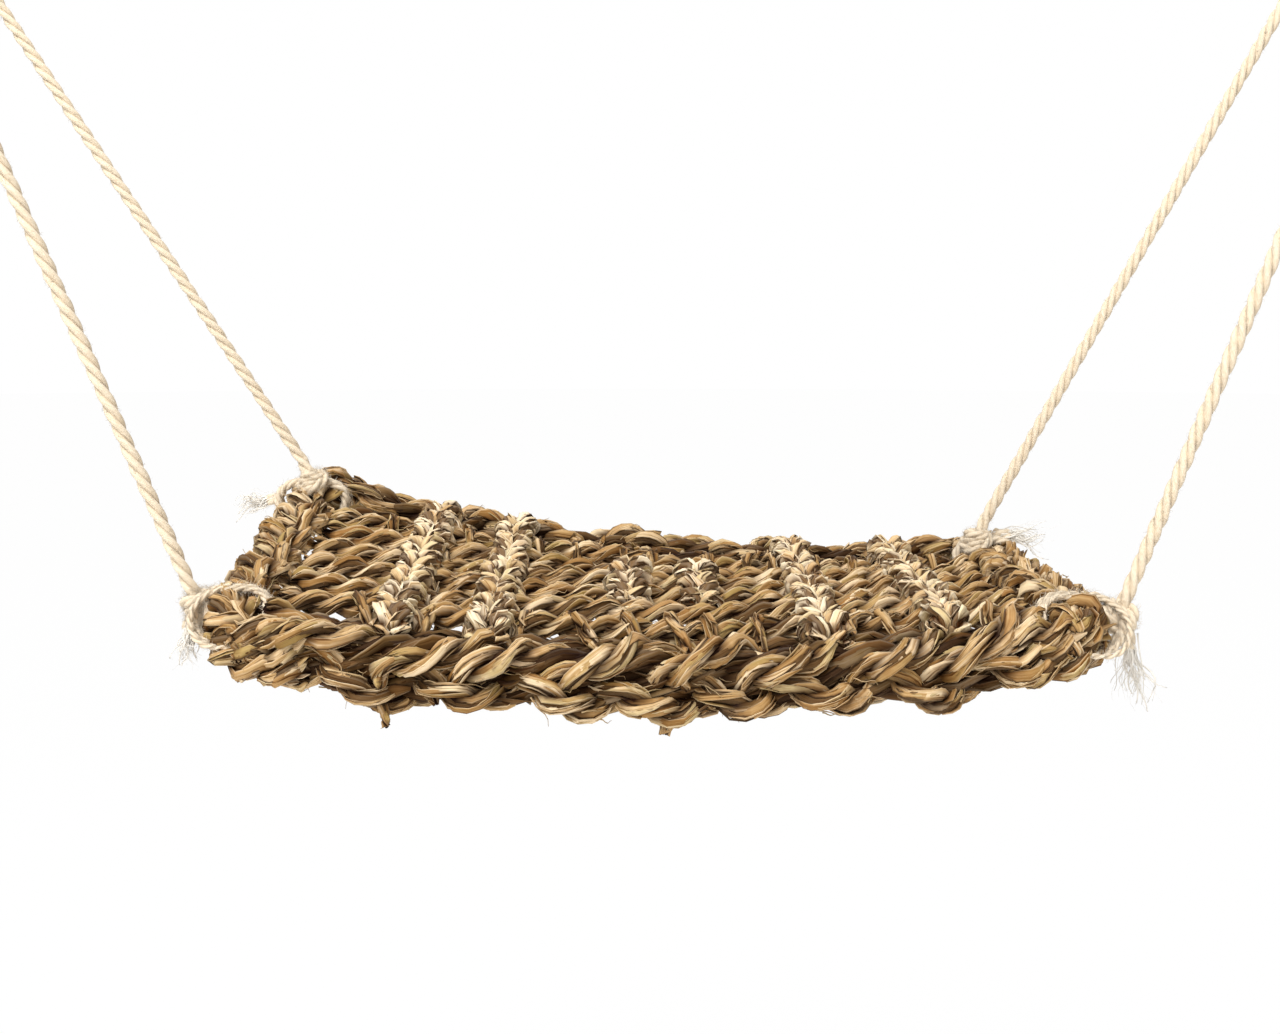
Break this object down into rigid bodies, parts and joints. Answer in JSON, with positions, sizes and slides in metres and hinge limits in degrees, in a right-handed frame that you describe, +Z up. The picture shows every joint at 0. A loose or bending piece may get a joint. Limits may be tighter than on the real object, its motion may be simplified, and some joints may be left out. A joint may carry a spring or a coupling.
{
  "type": "rope hammock",
  "caption": "Small hanging hammock: a woven seagrass mat with plaited borders, held at its corners by twisted cotton cords with knots and hanging loops.",
  "frame": {"origin": "hang_centre: above the middle of the mat, at the mean height of the seats of the four loops", "axes": "+X along the mat to its right end, +Y across it to the far border, +Z up"},
  "size_m": [0.6359, 0.1666, 0.3603],
  "materials": {
    "seagrass": "dried two-ply seagrass cord, matt with a faint sheen",
    "pale_seagrass": "paler twined grass cord, matt",
    "cotton": "natural twisted cotton cord, soft and slightly fuzzy"
  },
  "bodies": {
    "hangers": {"near_left_top_knot": "cotton", "near_right_top_knot": "cotton", "far_right_top_knot": "cotton", "far_left_top_knot": "cotton", "near_left_loop": "cotton", "near_right_loop": "cotton", "far_right_loop": "cotton", "far_left_loop": "cotton"},
    "near_left_cord": {"near_left_hang_cord": "cotton"},
    "near_right_cord": {"near_right_hang_cord": "cotton"},
    "far_right_cord": {"far_right_hang_cord": "cotton"},
    "far_left_cord": {"far_left_hang_cord": "cotton"},
    "bed": {"warp_cord_1": "seagrass", "warp_cord_2": "seagrass", "warp_cord_3": "seagrass", "warp_cord_4": "seagrass", "warp_cord_5": "seagrass", "warp_cord_6": "seagrass", "cross_band_1": "pale_seagrass", "cross_band_2": "pale_seagrass", "cross_band_3": "pale_seagrass", "cross_band_4": "pale_seagrass", "middle_tie_1": "pale_seagrass", "middle_tie_2": "pale_seagrass", "front_edge_stitches": "seagrass", "back_edge_stitches": "seagrass", "front_border_strand_1": "seagrass", "front_border_strand_2": "seagrass", "front_border_strand_3": "seagrass", "back_border_strand_1": "seagrass", "back_border_strand_2": "seagrass", "back_border_strand_3": "seagrass", "left_end_strand_1": "seagrass", "left_end_strand_2": "seagrass", "left_end_strand_3": "seagrass", "right_end_strand_1": "seagrass", "right_end_strand_2": "seagrass", "right_end_strand_3": "seagrass", "near_left_sling": "cotton", "near_right_sling": "cotton", "far_right_sling": "cotton", "far_left_sling": "cotton", "near_left_tail": "cotton", "near_right_tail": "cotton", "far_right_tail": "cotton", "far_left_tail": "cotton", "near_left_foot_knot": "cotton", "near_right_foot_knot": "cotton", "far_right_foot_knot": "cotton", "far_left_foot_knot": "cotton"}
  },
  "joints": [
    {"name": "near_left_swing", "type": "hinge", "parent": "hangers", "child": "near_left_cord", "pos_m": [-0.25682, -0.0576, -0.04559], "axis": [1, 0, 0], "range_deg": [-30, 30]},
    {"name": "near_right_swing", "type": "hinge", "parent": "hangers", "child": "near_right_cord", "pos_m": [0.25593, -0.0576, -0.04839], "axis": [1, 0, 0], "range_deg": [-31, 31]},
    {"name": "far_right_swing", "type": "hinge", "parent": "hangers", "child": "far_right_cord", "pos_m": [0.27585, 0.0576, -0.03549], "axis": [1, 0, 0], "range_deg": [-31, 31]},
    {"name": "far_left_swing", "type": "hinge", "parent": "hangers", "child": "far_left_cord", "pos_m": [-0.3034, 0.0576, -0.01029], "axis": [1, 0, 0], "range_deg": [-31, 31]},
    {"name": "bed_level", "type": "hinge", "parent": "near_left_cord", "child": "bed", "pos_m": [-0.161, -0.0576, -0.28759], "axis": [1, 0, 0], "range_deg": [-31, 31]}
  ],
  "couplings": [
    {"joint": "near_right_swing", "follows": "near_left_swing", "ratio": 1},
    {"joint": "far_right_swing", "follows": "near_left_swing", "ratio": 1},
    {"joint": "far_left_swing", "follows": "near_left_swing", "ratio": 1},
    {"joint": "bed_level", "follows": "near_left_swing", "ratio": -1}
  ]
}
